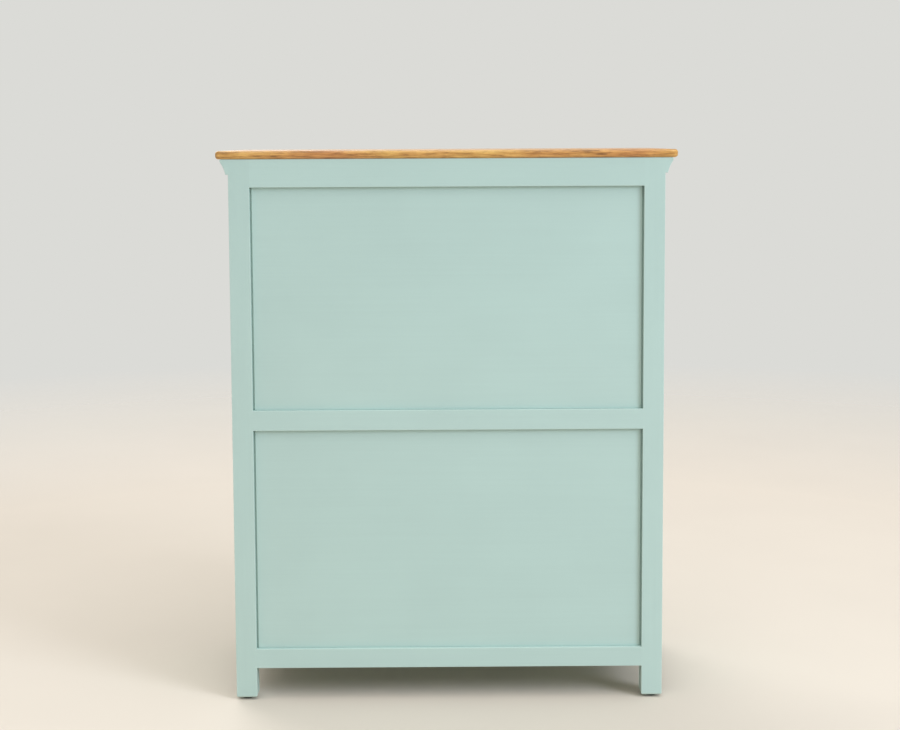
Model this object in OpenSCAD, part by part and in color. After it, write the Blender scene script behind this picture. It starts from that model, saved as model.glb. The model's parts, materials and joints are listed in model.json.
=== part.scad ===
// Bar cabinet on four post legs, in millimetres.
// The origin is on the floor under the middle of the top board. +Z is up, the doors face -Y,
// and left and right are those of someone who stands in front of the doors.

/* [Overall size] */
// Width of the top board from end to end
top_w = 900; // [760:5:1200]
// Depth of the top board from front to back
top_d = 430; // [390:5:520]
// Thickness of the top board
top_t = 16; // [14:1:30]
// Height from the floor to the top surface
total_h = 1095; // [1040:5:1250]
// Radius of the rounded long and short edges of the top board
top_edge_r = 6; // [2:0.5:6.5]
// Overhang of the top board past the posts at each end
side_overhang = 24.5; // [18:0.5:40]
// Overhang of the top board past the front faces of the posts
front_overhang = 27; // [22:1:40]
// Overhang of the top board past the back faces of the posts
back_overhang = 3; // [0:1:20]

/* [Posts and rails] */
// Section of each square post
post_s = 41; // [36:1:55]
// Thickness of the rails between the posts
rail_t = 24; // [22:1:28]
// Height of the rails under the top board
top_rail_h = 55; // [40:1:70]
// Height of the rails at the middle of the back and sides
mid_rail_h = 40; // [36:1:60]
// Height of the underside of the middle rails above the floor
mid_rail_z = 545; // [480:1:600]
// Height of the rails at the bottom of the carcass
bottom_rail_h = 39; // [36:1:60]
// Free length of each leg between its glide and the bottom rails
leg_h = 60; // [40:1:120]
// Chamfer round the lower end of each leg
leg_chamfer = 2.5; // [0.5:0.5:4]
// Height of the rail under the drawers
drawer_rail_h = 30; // [26:1:40]
// Height of the opening that holds the drawers
drawer_open_h = 120; // [100:1:150]
// Width of the upright between the two drawers
divider_w = 30; // [24:1:50]

/* [Joinery] */
// Length of the tenons that enter the posts
tenon_l = 20; // [12:1:24]
// Thickness of the tenons
tenon_t = 8; // [6:0.5:9]
// Height of the shoulder above and below each tenon
tenon_shoulder = 9; // [8.5:0.5:10]
// Clearance on each face of a glued joint
glue_gap = 0.1; // [0.05:0.05:0.2]
// Clearance at the end of a tenon or a tongue
end_gap = 0.5; // [0.2:0.1:0.9]
// Clearance round a board that is dropped into the carcass
board_gap = 0.3; // [0.1:0.1:0.8]

/* [Panels] */
// Thickness of the back, side and door panels
panel_t = 9; // [8:0.5:10]
// Thickness of the tongue round each panel, flush with its inner face
tongue_t = 5; // [4:0.5:6]
// Width of the open channel beside each panel, where it can swell across the grain
panel_reveal = 3; // [1:0.5:6]
// Depth of the back and side panels behind the faces of the rails
panel_recess = 9; // [6:0.5:10]
// Depth of the grooves that hold the panels
groove_d = 8; // [5:0.5:8]

/* [Cornice] */
// Height of the moulding under the top board
cornice_h = 30; // [28:1:50]
// Projection of the moulding at its round upper lip
cornice_p = 16; // [12:1:17]
// Height of the round upper lip
cornice_lip = 7; // [6:0.5:10]
// Width of the small step under the lip
cornice_step = 1.5; // [1:0.5:3]
// Thickness left at the lower edge of the moulding
cornice_toe = 5; // [2:0.5:6]
// Radius of the hollow face
cornice_r = 60; // [40:5:200]

/* [Boards] */
// Thickness of the floor board
floor_t = 12; // [9:1:18]
// Thickness of the fixed shelves
shelf_t = 20; // [15:1:25]
// Thickness of the deck under the drawers
deck_t = 12; // [9:1:15]
// Thickness of the upright partition in the lower part
partition_t = 15; // [12:1:20]
// Depth to which the partition is housed in the boards above and below it
housing_d = 4; // [2:0.5:6]
// Section of the square cleats that carry the boards
cleat_s = 15; // [10:1:20]
// Height of the lower shelf above the floor board
lower_shelf_rise = 225; // [160:5:300]
// Set-back of the lower boards behind the back faces of the front posts
board_setback = 6; // [2:1:20]
// Edge of the glue blocks under the top board
block_s = 20; // [15:1:30]

/* [Bottle rack] */
// Number of cells side by side
rack_cols = 3; // [2:1:4]
// Number of cells one above another
rack_rows = 4; // [3:1:5]
// Thickness of the boards of the bottle rack
rack_t = 9; // [6:1:12]

/* [Glass rack] */
// Number of hanging rails for stemmed glasses
stem_rails = 5; // [3:1:7]
// Distance between neighbouring hanging rails
stem_pitch = 100; // [90:1:120]
// Width of the flange under each hanging rail
stem_flange_w = 64; // [50:1:75]
// Thickness of the flange
stem_flange_t = 8; // [6:0.5:12]
// Width of the web that hangs the flange from the deck
stem_web_w = 12; // [8:1:20]
// Height of the web, which leaves room for the foot of a glass
stem_web_h = 16; // [12:1:25]
// Length of the hanging rails from front to back
stem_rail_l = 260; // [180:5:270]

/* [Doors] */
// Thickness of the door frames
door_t = 20; // [19:1:24]
// Width of the door stiles
door_stile_w = 58; // [45:1:75]
// Height of the top rail of each door
door_top_h = 58; // [45:1:80]
// Height of the middle rail of each door
door_mid_h = 58; // [45:1:80]
// Height of the bottom rail of each door
door_bottom_h = 66; // [45:1:90]
// Depth of the door panels behind the face of the door
door_recess = 6; // [4:0.5:7]
// Gap above and below each door
door_gap = 2; // [1.5:0.1:3]
// Gap between the two doors
meeting_gap = 3; // [2:0.5:5]

/* [Hinges] */
// Gap between a door and its post, which the hinge leaves fill
hinge_gap = 2; // [1.8:0.1:3]
// Length of each butt hinge
hinge_l = 75; // [50:1:100]
// Distance from the ends of the door to the middle of the outer hinges
hinge_inset = 90; // [70:1:150]
// Thickness of a hinge leaf
leaf_t = 1.8; // [1.6:0.1:2]
// Depth to which each leaf is let into the wood
leaf_inset = 1; // [0.9:0.1:1.2]
// Width of a hinge leaf on the wood
leaf_w = 17.5; // [14:0.5:17.5]
// Outer diameter of the hinge barrel
barrel_d = 7; // [6:0.1:7.2]
// Distance of the pin axis in front of the door face
barrel_proud = 3.8; // [3.6:0.1:5]
// Number of knuckles on each hinge
knuckles = 5; // [3:2:7]
// Gap between neighbouring knuckles
knuckle_gap = 0.3; // [0.1:0.05:0.5]
// Diameter of the hinge pin
pin_d = 3; // [2.5:0.1:4]
// Radial clearance between the pin and the knuckles
pin_gap = 0.05; // [0.03:0.01:0.09]
// Diameter of the ball at each end of the hinge pin
pin_ball_d = 5.6; // [4.5:0.1:6]

/* [Screws] */
// Number of screws in each hinge leaf
leaf_screws = 3; // [2:1:3]
// Diameter of the hinge screws
screw_d = 3.2; // [2.5:0.1:4]
// Diameter of their countersunk heads
screw_head_d = 6; // [5:0.1:6.5]
// Length of the hinge screws
screw_l = 16; // [10:1:20]
// Radial clearance of a screw, nail or rod in its hole
hole_gap = 0.05; // [0.02:0.01:0.1]

/* [Drawers] */
// Gap round each drawer front
drawer_gap = 1.5; // [1:0.1:2.5]
// Thickness of the drawer fronts
drawer_front_t = 20; // [18:1:25]
// Thickness of the drawer sides and back
drawer_side_t = 12; // [9:1:15]
// Height of the drawer sides
drawer_side_h = 108; // [60:1:112]
// Length of a drawer from its face to the end of its sides
drawer_l = 345; // [280:5:355]
// Thickness of the front left in front of the drawer sides
drawer_lap = 7; // [5:0.5:9]
// Thickness of the drawer bottom
drawer_bottom_t = 6; // [4:0.5:8]
// Height of the drawer bottom above the lower edge of the sides
drawer_bottom_rise = 10; // [6:1:15]
// Depth of the groove that holds the drawer bottom
drawer_groove_d = 6; // [4:0.5:7]
// Distance of the drawer back from the end of the sides
drawer_back_inset = 10; // [5:1:20]
// Running gap under a drawer
drawer_lift = 0.4; // [0.3:0.1:0.8]
// Height of the strips that guide and hold down the drawers
guide_h = 18; // [10:1:30]
// Width of the strips above the drawer sides
kicker_w = 25; // [18:1:40]

/* [Knobs] */
// Projection of a knob from the face it is screwed to
knob_l = 24; // [20:1:26]
// Diameter of the head of a knob
knob_d = 26; // [20:1:32]
// Diameter of the rose against the wood
knob_rose_d = 17; // [14:1:20]
// Diameter of the neck
knob_neck_d = 10; // [8:0.5:12]
// Thickness of the round head
knob_head_t = 10; // [8:0.5:14]
// Thickness of the rose
knob_rose_t = 3; // [2:0.5:5]
// Length of the knob's screw inside the knob
knob_thread_l = 12; // [8:1:15]
// Diameter of the screw that holds a knob
knob_screw_d = 4; // [3:0.5:5]
// Height of the middle of the door knobs above the middle rail of the doors
knob_rise = 60; // [40:5:200]

/* [Door racks] */
// Depth of the rack boards behind the door
door_rack_d = 70; // [50:1:85]
// Thickness of the rack boards
door_rack_t = 12; // [9:1:15]
// Height of the rack ends
door_rack_h = 90; // [70:1:110]
// Height of the rack above the shelf behind the doors
door_rack_rise = 40; // [20:5:90]
// Diameter of the brass rails
rod_d = 8; // [6:0.5:10]
// Depth to which the rails enter the rack ends
rod_seat = 6; // [4:0.5:8]
// Number of brass rails on each door
rod_count = 2; // [1:1:2]
// Distance from the foot of the rack to the first rail, and from rail to rail
rod_pitch = 34; // [22:1:34]

/* [Catches and glides] */
// Length of the magnet catch housings
catch_l = 45; // [35:1:60]
// Height of the magnet catch housings
catch_h = 12; // [9:1:16]
// Depth of the magnet catch housings
catch_d = 15; // [10:1:20]
// Distance of each catch from the middle of the cabinet
catch_x = 30; // [20:1:120]
// Air between a magnet and the strike on the door
catch_gap = 0.5; // [0.2:0.1:0.9]
// Thickness of the strike plates
strike_t = 1.2; // [1:0.1:2]
// Height of the glides under the legs
glide_h = 5; // [3:0.5:8]
// Diameter of the glides
glide_d = 22; // [18:1:30]
// Diameter of the nail that holds a glide
nail_d = 2.5; // [2:0.5:4]
// Length of the nail in the leg
nail_l = 16; // [10:1:25]
// Chamfer round the lower edge of a glide
glide_edge = 1.2; // [0.5:0.1:2]

/* [Hidden] */

$fn = 48;
paint = "#b8d0c6";
honey_wood = "#c4945a";
pale_wood = "#d8bc90";
brass = "#a8874c";
steel = "#8f9294";
dark_nylon = "#2c2a28";

// Sides that a module is drawn for
LEFT = -1;
RIGHT = 1;
// Overlap that lets a cutting shape pass a face
cut = 1;

// Faces of the carcass
body_x = top_w / 2 - side_overhang;
front_y = front_overhang - top_d / 2;
back_y = top_d / 2 - back_overhang;
post_x = body_x - post_s;
inner_x = body_x - rail_t;
front_post_y = front_y + post_s;
back_post_y = back_y - post_s;
inner_front_y = front_y + rail_t;
inner_back_y = back_y - rail_t;
// Inner faces of the back and side panels
back_panel_y = back_y - panel_recess - panel_t;
side_panel_x = body_x - panel_recess - panel_t;
// Length of a tongue inside its groove
tongue_l = groove_d - end_gap;

// Heights, each span being the lower and the upper face
top_z = total_h - top_t;
bottom_span = [glide_h + leg_h, glide_h + leg_h + bottom_rail_h];
mid_span = [mid_rail_z, mid_rail_z + mid_rail_h];
top_span = [top_z - top_rail_h, top_z];
drawer_rail_top = top_span[0] - drawer_open_h;
drawer_rail_span = [drawer_rail_top - drawer_rail_h, drawer_rail_top];
frame_spans = [bottom_span, mid_span, top_span];
panel_spans = [[bottom_span[1], mid_span[0]], [mid_span[1], top_span[0]]];
floor_z = bottom_span[1];
shelf_z = mid_span[1];
deck_z = drawer_rail_top;
bay_top = shelf_z - shelf_t;
lower_shelf_z = floor_z + lower_shelf_rise;

// Boards of the lower part, set back behind the doors and in front of the back cleats
lower_front_y = front_post_y + board_setback;
lower_back_y = inner_back_y - board_gap;
rack_back_y = inner_back_y - cleat_s - board_gap;
bay_x = post_x - board_gap;
half_partition = partition_t / 2;
cell_w = (bay_x - half_partition - board_gap - rack_cols * rack_t) / rack_cols;
cell_h = (bay_top - floor_z - (rack_rows - 1) * rack_t) / rack_rows;
rack_mid_y = (lower_front_y + rack_back_y) / 2;

// Doors
door_x0 = meeting_gap / 2;
door_x1 = post_x - hinge_gap;
door_z0 = floor_z + door_gap;
door_z1 = drawer_rail_span[0] - door_gap;
door_back_y = front_y + door_t;
door_mid_z = (mid_span[0] + mid_span[1] - door_mid_h) / 2;
door_rail_spans = [[door_z0, door_z0 + door_bottom_h], [door_mid_z, door_mid_z + door_mid_h],
    [door_z1 - door_top_h, door_z1]];
door_panel_spans = [[door_rail_spans[0][1], door_rail_spans[1][0]],
    [door_rail_spans[1][1], door_rail_spans[2][0]]];
door_panel_y = front_y + door_recess;
door_tongue_y = door_panel_y + panel_t - tongue_t;

// Hinges
axis_x = post_x - hinge_gap / 2;
axis_y = front_y - barrel_proud;
knuckle_l = hinge_l / knuckles;
hinge_zs = [door_z0 + hinge_inset, (door_z0 + door_z1) / 2, door_z1 - hinge_inset];
screw_y = front_y + leaf_w / 2;
screw_step = hinge_l / leaf_screws;

// Drawers
drawer_x0 = divider_w / 2 + drawer_gap;
drawer_x1 = post_x - drawer_gap;
drawer_z0 = deck_z + drawer_lift;
drawer_z1 = drawer_z0 + drawer_side_h;
drawer_front_z0 = deck_z + drawer_gap;
drawer_front_z1 = top_span[0] - drawer_gap;
drawer_back_y = front_y + drawer_front_t;
drawer_end_y = front_y + drawer_l;
drawer_panel_z = drawer_z0 + drawer_bottom_rise;
drawer_rear_y = drawer_end_y - drawer_back_inset;

// Knobs and racks on the doors
door_knob_x = door_x0 + door_stile_w / 2;
door_knob_z = door_rail_spans[1][1] + knob_rise;
drawer_knob_x = (drawer_x0 + drawer_x1) / 2;
drawer_knob_z = (drawer_front_z0 + drawer_front_z1) / 2;
door_rack_z = shelf_z + door_rack_rise;
door_rack_x0 = door_x0 + door_stile_w - door_rack_t;
door_rack_x1 = door_x1 - door_stile_w + door_rack_t;
door_rack_y1 = door_back_y + door_rack_d;
rod_y = door_rack_y1 - rod_d;
strike_h = catch_h - door_gap;

// Box between two opposite corners
module block(low, high) {
    translate(low) cube(high - low);
}

// Shape drawn for the right side, and mirrored for the left one
module on_side(side) {
    if (side == RIGHT) children();
    else mirror([1, 0, 0]) children();
}

// Rectangle with round corners, centred, made of true arcs
module round_rect(w, h, r) {
    square([w, h - 2 * r], center = true);
    square([w - 2 * r, h], center = true);
    for (sx = [-1, 1], sy = [-1, 1]) translate([sx * (w / 2 - r), sy * (h / 2 - r)]) circle(r);
}

// Straight bar along X with a round-cornered section
module round_bar(length, w, h, r) {
    rotate([90, 0, 90]) linear_extrude(length, center = true) round_rect(w, h, r);
}

module top_board() {
    color(honey_wood)
    translate([0, 0, total_h - top_t / 2]) intersection() {
        round_bar(top_w + cut, top_d, top_t, top_edge_r);
        rotate([0, 0, 90]) round_bar(top_d + cut, top_w, top_t, top_edge_r);
    }
}

// Straight length of cornice: a half-round lip over a hollow. X is its projection, Y below the top board
module cornice_bar(length, mid) {
    nose_r = cornice_lip / 2;
    nose_x = cornice_p - nose_r;
    upper = [cornice_p - cornice_step, -cornice_lip];
    lower = [cornice_toe, -cornice_h];
    chord = lower - upper;
    unit = chord / norm(chord);
    rise = sqrt(cornice_r * cornice_r - norm(chord) * norm(chord) / 4);
    centre = (upper + lower) / 2 + [-unit[1], unit[0]] * rise;
    linear_extrude(length, center = mid) difference() {
        polygon([[0, 0], [nose_x, 0], [nose_x, -nose_r], [upper[0], -nose_r], upper, lower, [0, -cornice_h]]);
        translate(centre) circle(cornice_r, $fn = 180);
    }
    translate([nose_x, -nose_r, 0]) cylinder(h = length, r = nose_r, center = mid);
}

// Plan of one mitred length of cornice, as the outline of what is kept
module cornice_plan(points) {
    translate([0, 0, top_z - cornice_h - cut]) linear_extrude(cornice_h + 2 * cut) polygon(points);
}

module front_cornice() {
    out_x = body_x + cornice_p;
    out_y = front_y - cornice_p;
    color(paint)
    intersection() {
        translate([0, front_y, top_z]) rotate([90, 0, 90]) mirror([1, 0, 0]) cornice_bar(2 * out_x, true);
        cornice_plan([[-out_x, out_y], [out_x, out_y], [body_x, front_y], [-body_x, front_y]]);
    }
}

module side_cornice(side) {
    out_x = body_x + cornice_p;
    out_y = front_y - cornice_p;
    color(paint)
    on_side(side) intersection() {
        translate([body_x, back_y, top_z]) rotate([90, 0, 0]) cornice_bar(back_y - out_y, false);
        cornice_plan([[out_x, out_y], [out_x, back_y], [body_x, back_y], [body_x, front_y]]);
    }
}

// Tenons at both ends of a rail that runs along X
module tenons_x(y, span) {
    half = tenon_t / 2;
    block([-post_x - tenon_l, y - half, span[0] + tenon_shoulder],
        [post_x + tenon_l, y + half, span[1] - tenon_shoulder]);
}

// Mortise for such a tenon in a post on the right
module mortise_x(y, span) {
    half = tenon_t / 2 + glue_gap;
    block([post_x - cut, y - half, span[0] + tenon_shoulder - glue_gap],
        [post_x + tenon_l + end_gap, y + half, span[1] - tenon_shoulder + glue_gap]);
}

// Tenons at both ends of a side rail on the right
module tenons_y(span) {
    x = body_x - rail_t / 2;
    half = tenon_t / 2;
    block([x - half, front_post_y - tenon_l, span[0] + tenon_shoulder],
        [x + half, back_post_y + tenon_l, span[1] - tenon_shoulder]);
}

// Mortises for them, in the front and the back post on the right
module mortises_y(span) {
    x = body_x - rail_t / 2;
    half = tenon_t / 2 + glue_gap;
    depth = tenon_l + end_gap;
    block([x - half, front_post_y - depth, span[0] + tenon_shoulder - glue_gap],
        [x + half, back_post_y + depth, span[1] - tenon_shoulder + glue_gap]);
}

// Groove that holds the tongue of a back panel
module back_groove(span) {
    reach = post_x + groove_d;
    block([-reach, back_panel_y - glue_gap, span[0] - groove_d],
        [reach, back_panel_y + tongue_t + glue_gap, span[1] + groove_d]);
}

// Groove that holds the tongue of a side panel on the right
module side_groove(span) {
    block([side_panel_x - glue_gap, front_post_y - groove_d, span[0] - groove_d],
        [side_panel_x + tongue_t + glue_gap, back_post_y + groove_d, span[1] + groove_d]);
}

// Flat-headed screw along +X, with its head flush at the origin
module countersunk_screw(gap) {
    head_r = screw_head_d / 2 + gap;
    shank_r = screw_d / 2 + gap;
    rotate([0, 90, 0]) {
        cylinder(h = head_r - shank_r, r1 = head_r, r2 = shank_r);
        cylinder(h = screw_l + gap, r = shank_r);
    }
}

// Places of the screws in the hinge leaves, each as a height
screw_zs = [for (z = hinge_zs, i = [0:leaf_screws - 1]) z + (i - (leaf_screws - 1) / 2) * screw_step];

module post_screws(gap) {
    for (z = screw_zs) translate([post_x + leaf_inset - leaf_t, screw_y, z]) countersunk_screw(gap);
}

module door_screws(gap) {
    for (z = screw_zs) translate([door_x1 - leaf_inset + leaf_t, screw_y, z])
        mirror([1, 0, 0]) countersunk_screw(gap);
}

// Recesses for the three hinge leaves, cut from an edge at x to a depth on either side of it
module leaf_recesses(x, depth) {
    for (z = hinge_zs)
        block([x - depth, front_y - cut, z - hinge_l / 2 - glue_gap],
            [x + depth, front_y + leaf_w + glue_gap, z + hinge_l / 2 + glue_gap]);
}

// Post of the right side between two faces across the depth of the cabinet
module post_blank(y0) {
    difference() {
        block([post_x, y0, glide_h], [body_x, y0 + post_s, top_z]);
        for (span = frame_spans) mortises_y(span);
        for (span = panel_spans) side_groove(span);
        translate([post_x + post_s / 2, y0 + post_s / 2, glide_h]) {
            translate([0, 0, -cut]) cylinder(h = cut + nail_l + hole_gap, r = nail_d / 2 + hole_gap);
            for (a = [0:90:270]) rotate([0, 0, a]) translate([post_s / 2, 0, 0]) rotate([0, 45, 0])
                cube([leg_chamfer * sqrt(2), post_s + 2 * cut, leg_chamfer * sqrt(2)], center = true);
        }
    }
}

module front_post(side) {
    color(paint)
    on_side(side) difference() {
        post_blank(front_y);
        mortise_x(front_y + rail_t / 2, bottom_span);
        mortise_x(front_y + post_s / 2, drawer_rail_span);
        mortise_x(front_y + rail_t / 2, top_span);
        leaf_recesses(post_x, leaf_inset + glue_gap);
        post_screws(hole_gap);
    }
}

module back_post(side) {
    color(paint)
    on_side(side) difference() {
        post_blank(back_post_y);
        for (span = frame_spans) mortise_x(back_y - rail_t / 2, span);
        for (span = panel_spans) back_groove(span);
    }
}

module back_rail(span) {
    color(paint)
    difference() {
        union() {
            block([-post_x, inner_back_y, span[0]], [post_x, back_y, span[1]]);
            tenons_x(back_y - rail_t / 2, span);
        }
        for (panel = panel_spans) back_groove(panel);
    }
}

module back_panel(span) {
    field_x = post_x - panel_reveal;
    tongue_x = post_x + tongue_l;
    color(paint) {
        block([-field_x, back_panel_y, span[0] + board_gap],
            [field_x, back_panel_y + panel_t, span[1] - board_gap]);
        block([-tongue_x, back_panel_y, span[0] - tongue_l],
            [tongue_x, back_panel_y + tongue_t, span[1] + tongue_l]);
    }
}

module side_rails(side) {
    color(paint)
    on_side(side) for (span = frame_spans) difference() {
        union() {
            block([inner_x, front_post_y, span[0]], [body_x, back_post_y, span[1]]);
            tenons_y(span);
        }
        for (panel = panel_spans) side_groove(panel);
    }
}

module side_panels(side) {
    color(paint)
    on_side(side) for (span = panel_spans) {
        block([side_panel_x, front_post_y + panel_reveal, span[0] + board_gap],
            [side_panel_x + panel_t, back_post_y - panel_reveal, span[1] - board_gap]);
        block([side_panel_x, front_post_y - tongue_l, span[0] - tongue_l],
            [side_panel_x + tongue_t, back_post_y + tongue_l, span[1] + tongue_l]);
    }
}

// Short tenons above and below the divider, or their mortises when a gap is given
module divider_tenons(gap, extra) {
    half_x = divider_w / 2 - tenon_shoulder + gap;
    half_y = tenon_t / 2 + gap;
    y = front_y + rail_t / 2;
    length = tenon_l / 2 + extra;
    block([-half_x, y - half_y, drawer_rail_span[1] - length],
        [half_x, y + half_y, top_span[0] + length]);
}

module front_top_rail() {
    color(paint)
    difference() {
        union() {
            block([-post_x, front_y, top_span[0]], [post_x, inner_front_y, top_span[1]]);
            tenons_x(front_y + rail_t / 2, top_span);
        }
        divider_tenons(glue_gap, end_gap);
    }
}

module front_drawer_rail() {
    color(paint)
    difference() {
        union() {
            block([-post_x, front_y, drawer_rail_span[0]], [post_x, front_post_y, drawer_rail_span[1]]);
            tenons_x(front_y + post_s / 2, drawer_rail_span);
        }
        divider_tenons(glue_gap, end_gap);
    }
}

module front_bottom_rail() {
    color(paint) {
        block([-post_x, front_y, bottom_span[0]], [post_x, inner_front_y, bottom_span[1]]);
        tenons_x(front_y + rail_t / 2, bottom_span);
    }
}

module drawer_divider() {
    color(paint) {
        block([-divider_w / 2, front_y, drawer_rail_span[1]], [divider_w / 2, inner_front_y, top_span[0]]);
        divider_tenons(0, 0);
    }
}

// Level board of the full inner width, notched round the posts
module notched_board(y0, y1, z0, z1, x0 = board_gap - inner_x) {
    difference() {
        block([x0, y0, z0], [inner_x - board_gap, y1, z1]);
        for (side = [LEFT, RIGHT]) on_side(side) {
            block([bay_x, y0 - cut, z0 - cut], [body_x, front_post_y + board_gap, z1 + cut]);
            block([bay_x, back_post_y - board_gap, z0 - cut], [body_x, y1 + cut, z1 + cut]);
        }
    }
}

// Room that the partition takes, or the boards leave for it when a gap is given
module partition_block(gap) {
    block([-half_partition - gap, lower_front_y - gap, floor_z - housing_d - gap],
        [half_partition + gap, lower_back_y + gap, bay_top + housing_d + gap]);
}

module floor_board() {
    color(paint)
    difference() {
        notched_board(inner_front_y + board_gap, lower_back_y, floor_z - floor_t, floor_z);
        partition_block(glue_gap);
    }
}

module middle_shelf() {
    color(paint)
    difference() {
        notched_board(front_post_y + board_gap, lower_back_y, bay_top, shelf_z);
        partition_block(glue_gap);
    }
}

module lower_shelf() {
    color(paint)
    notched_board(lower_front_y, lower_back_y, lower_shelf_z - shelf_t, lower_shelf_z,
        half_partition + board_gap);
}

module drawer_deck() {
    color(paint)
    notched_board(front_post_y + board_gap, lower_back_y, deck_z - deck_t, deck_z);
}

module lower_partition() {
    color(paint) partition_block(0);
}

// Cleat along a side, between the posts, with its upper face at z
module side_cleat(side, z) {
    on_side(side) block([inner_x - cleat_s, front_post_y, z - cleat_s], [inner_x, back_post_y, z]);
}

module shelf_cleats() {
    end_x = post_x - cleat_s;
    color(pale_wood) {
        for (side = [LEFT, RIGHT]) {
            for (z = [floor_z - floor_t, bay_top, deck_z - deck_t]) side_cleat(side, z);
            on_side(side) block([half_partition + cleat_s, inner_back_y - cleat_s, bay_top - cleat_s],
                [end_x, inner_back_y, bay_top]);
        }
        for (y = [inner_front_y, inner_back_y - cleat_s])
            block([-end_x, y, floor_z - floor_t - cleat_s], [end_x, y + cleat_s, floor_z - floor_t]);
        side_cleat(RIGHT, lower_shelf_z - shelf_t);
        block([half_partition, lower_front_y + board_setback, lower_shelf_z - shelf_t - cleat_s],
            [half_partition + cleat_s, lower_back_y, lower_shelf_z - shelf_t]);
    }
}

module drawer_guides() {
    half = divider_w / 2;
    color(pale_wood) {
        block([-half, inner_front_y, deck_z], [half, back_post_y, deck_z + guide_h]);
        block([-half - kicker_w, inner_front_y, top_span[0]],
            [half + kicker_w, inner_back_y, top_span[0] + guide_h]);
        for (side = [LEFT, RIGHT]) on_side(side) {
            block([post_x, front_post_y, deck_z], [inner_x, back_post_y, deck_z + guide_h]);
            block([post_x - kicker_w, inner_front_y, top_span[0]],
                [post_x, inner_back_y, top_span[0] + guide_h]);
        }
    }
}

module top_blocks() {
    low = top_z - block_s;
    color(pale_wood)
    for (side = [LEFT, RIGHT]) on_side(side) {
        for (y = [inner_front_y, inner_back_y - block_s])
            block([post_x / 2, y, low], [post_x / 2 + block_s, y + block_s, top_z]);
        block([inner_x - block_s, -block_s / 2, low], [inner_x, block_s / 2, top_z]);
    }
}

module glass_rack() {
    under = deck_z - deck_t;
    back = back_post_y;
    color(honey_wood)
    for (i = [0:stem_rails - 1]) translate([(i - (stem_rails - 1) / 2) * stem_pitch, 0, 0]) {
        block([-stem_web_w / 2, back - stem_rail_l, under - stem_web_h], [stem_web_w / 2, back, under]);
        block([-stem_flange_w / 2, back - stem_rail_l, under - stem_web_h - stem_flange_t - glue_gap],
            [stem_flange_w / 2, back, under - stem_web_h - glue_gap]);
    }
}

// Left face of upright i of the bottle rack, counted from the posts
function upright_x(i) = i * (cell_w + rack_t) - bay_x;
// Lower face of level i of the bottle rack, counted from the floor board
function level_z(i) = floor_z + i * (cell_h + rack_t) - rack_t;

module bottle_rack_uprights() {
    color(honey_wood)
    for (i = [0:rack_cols - 1]) difference() {
        block([upright_x(i), lower_front_y, floor_z], [upright_x(i) + rack_t, rack_back_y, bay_top]);
        for (k = [1:rack_rows - 1])
            block([upright_x(i) - cut, lower_front_y - cut, level_z(k) - glue_gap],
                [upright_x(i) + rack_t + cut, rack_mid_y, level_z(k) + rack_t + glue_gap]);
    }
}

module bottle_rack_shelves() {
    color(honey_wood)
    for (k = [1:rack_rows - 1]) difference() {
        block([-bay_x, lower_front_y, level_z(k)],
            [-half_partition - board_gap, rack_back_y, level_z(k) + rack_t]);
        for (i = [0:rack_cols - 1])
            block([upright_x(i) - glue_gap, rack_mid_y, level_z(k) - cut],
                [upright_x(i) + rack_t + glue_gap, rack_back_y + cut, level_z(k) + rack_t + cut]);
    }
}

module magnet_catches() {
    face = door_back_y + strike_t + catch_gap;
    color(dark_nylon)
    for (side = [LEFT, RIGHT]) on_side(side)
        block([catch_x, face, drawer_rail_span[0] - catch_h],
            [catch_x + catch_l, face + catch_d, drawer_rail_span[0]]);
}

module foot_glides() {
    color(dark_nylon)
    for (side = [LEFT, RIGHT], y = [front_y, back_post_y]) on_side(side)
        translate([post_x + post_s / 2, y + post_s / 2, 0]) rotate_extrude() polygon([
            [0, 0], [glide_d / 2 - glide_edge, 0], [glide_d / 2, glide_edge],
            [glide_d / 2, glide_h], [nail_d / 2, glide_h], [nail_d / 2, glide_h + nail_l],
            [0, glide_h + nail_l]]);
}

// Height of the lower end of knuckle k on the hinge whose middle is at z
function knuckle_z(z, k) = z - hinge_l / 2 + k * knuckle_l;

// Leaf of one hinge between two faces across X, with every second knuckle from the first one given
module hinge_leaf(x0, x1, first, z) {
    difference() {
        union() {
            block([x0, axis_y + barrel_d / 2 + knuckle_gap, z - hinge_l / 2],
                [x1, front_y + leaf_w, z + hinge_l / 2]);
            for (k = [first:2:knuckles - 1]) {
                low = knuckle_z(z, k) + knuckle_gap / 2;
                high = knuckle_z(z, k + 1) - knuckle_gap / 2;
                translate([axis_x, axis_y, low]) cylinder(h = high - low, d = barrel_d);
                block([x0, axis_y, low], [x1, front_y + leaf_w / 2, high]);
            }
        }
        translate([axis_x, axis_y, z - hinge_l]) cylinder(h = 2 * hinge_l, r = pin_d / 2 + pin_gap);
    }
}

module hinge_pin(z) {
    ball_z = (hinge_l + pin_ball_d) / 2;
    translate([axis_x, axis_y, z]) {
        cylinder(h = 2 * ball_z, d = pin_d, center = true);
        for (end = [-1, 1]) translate([0, 0, end * ball_z]) sphere(d = pin_ball_d);
    }
}

module post_hinges(side) {
    face = post_x + leaf_inset;
    color(brass)
    on_side(side) {
        for (z = hinge_zs) {
            difference() {
                hinge_leaf(face - leaf_t, face, 0, z);
                post_screws(hole_gap);
            }
            hinge_pin(z);
        }
        post_screws(0);
    }
}

module door_hinges(side) {
    face = door_x1 - leaf_inset;
    color(brass)
    on_side(side) {
        for (z = hinge_zs) difference() {
            hinge_leaf(face, face + leaf_t, 1, z);
            door_screws(hole_gap);
        }
        door_screws(0);
    }
}

// Groove inside a door frame, all round its panels
module door_groove(x0, x1, z0, z1) {
    block([x0, door_tongue_y - glue_gap, z0], [x1, door_tongue_y + tongue_t + glue_gap, z1]);
}

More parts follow.
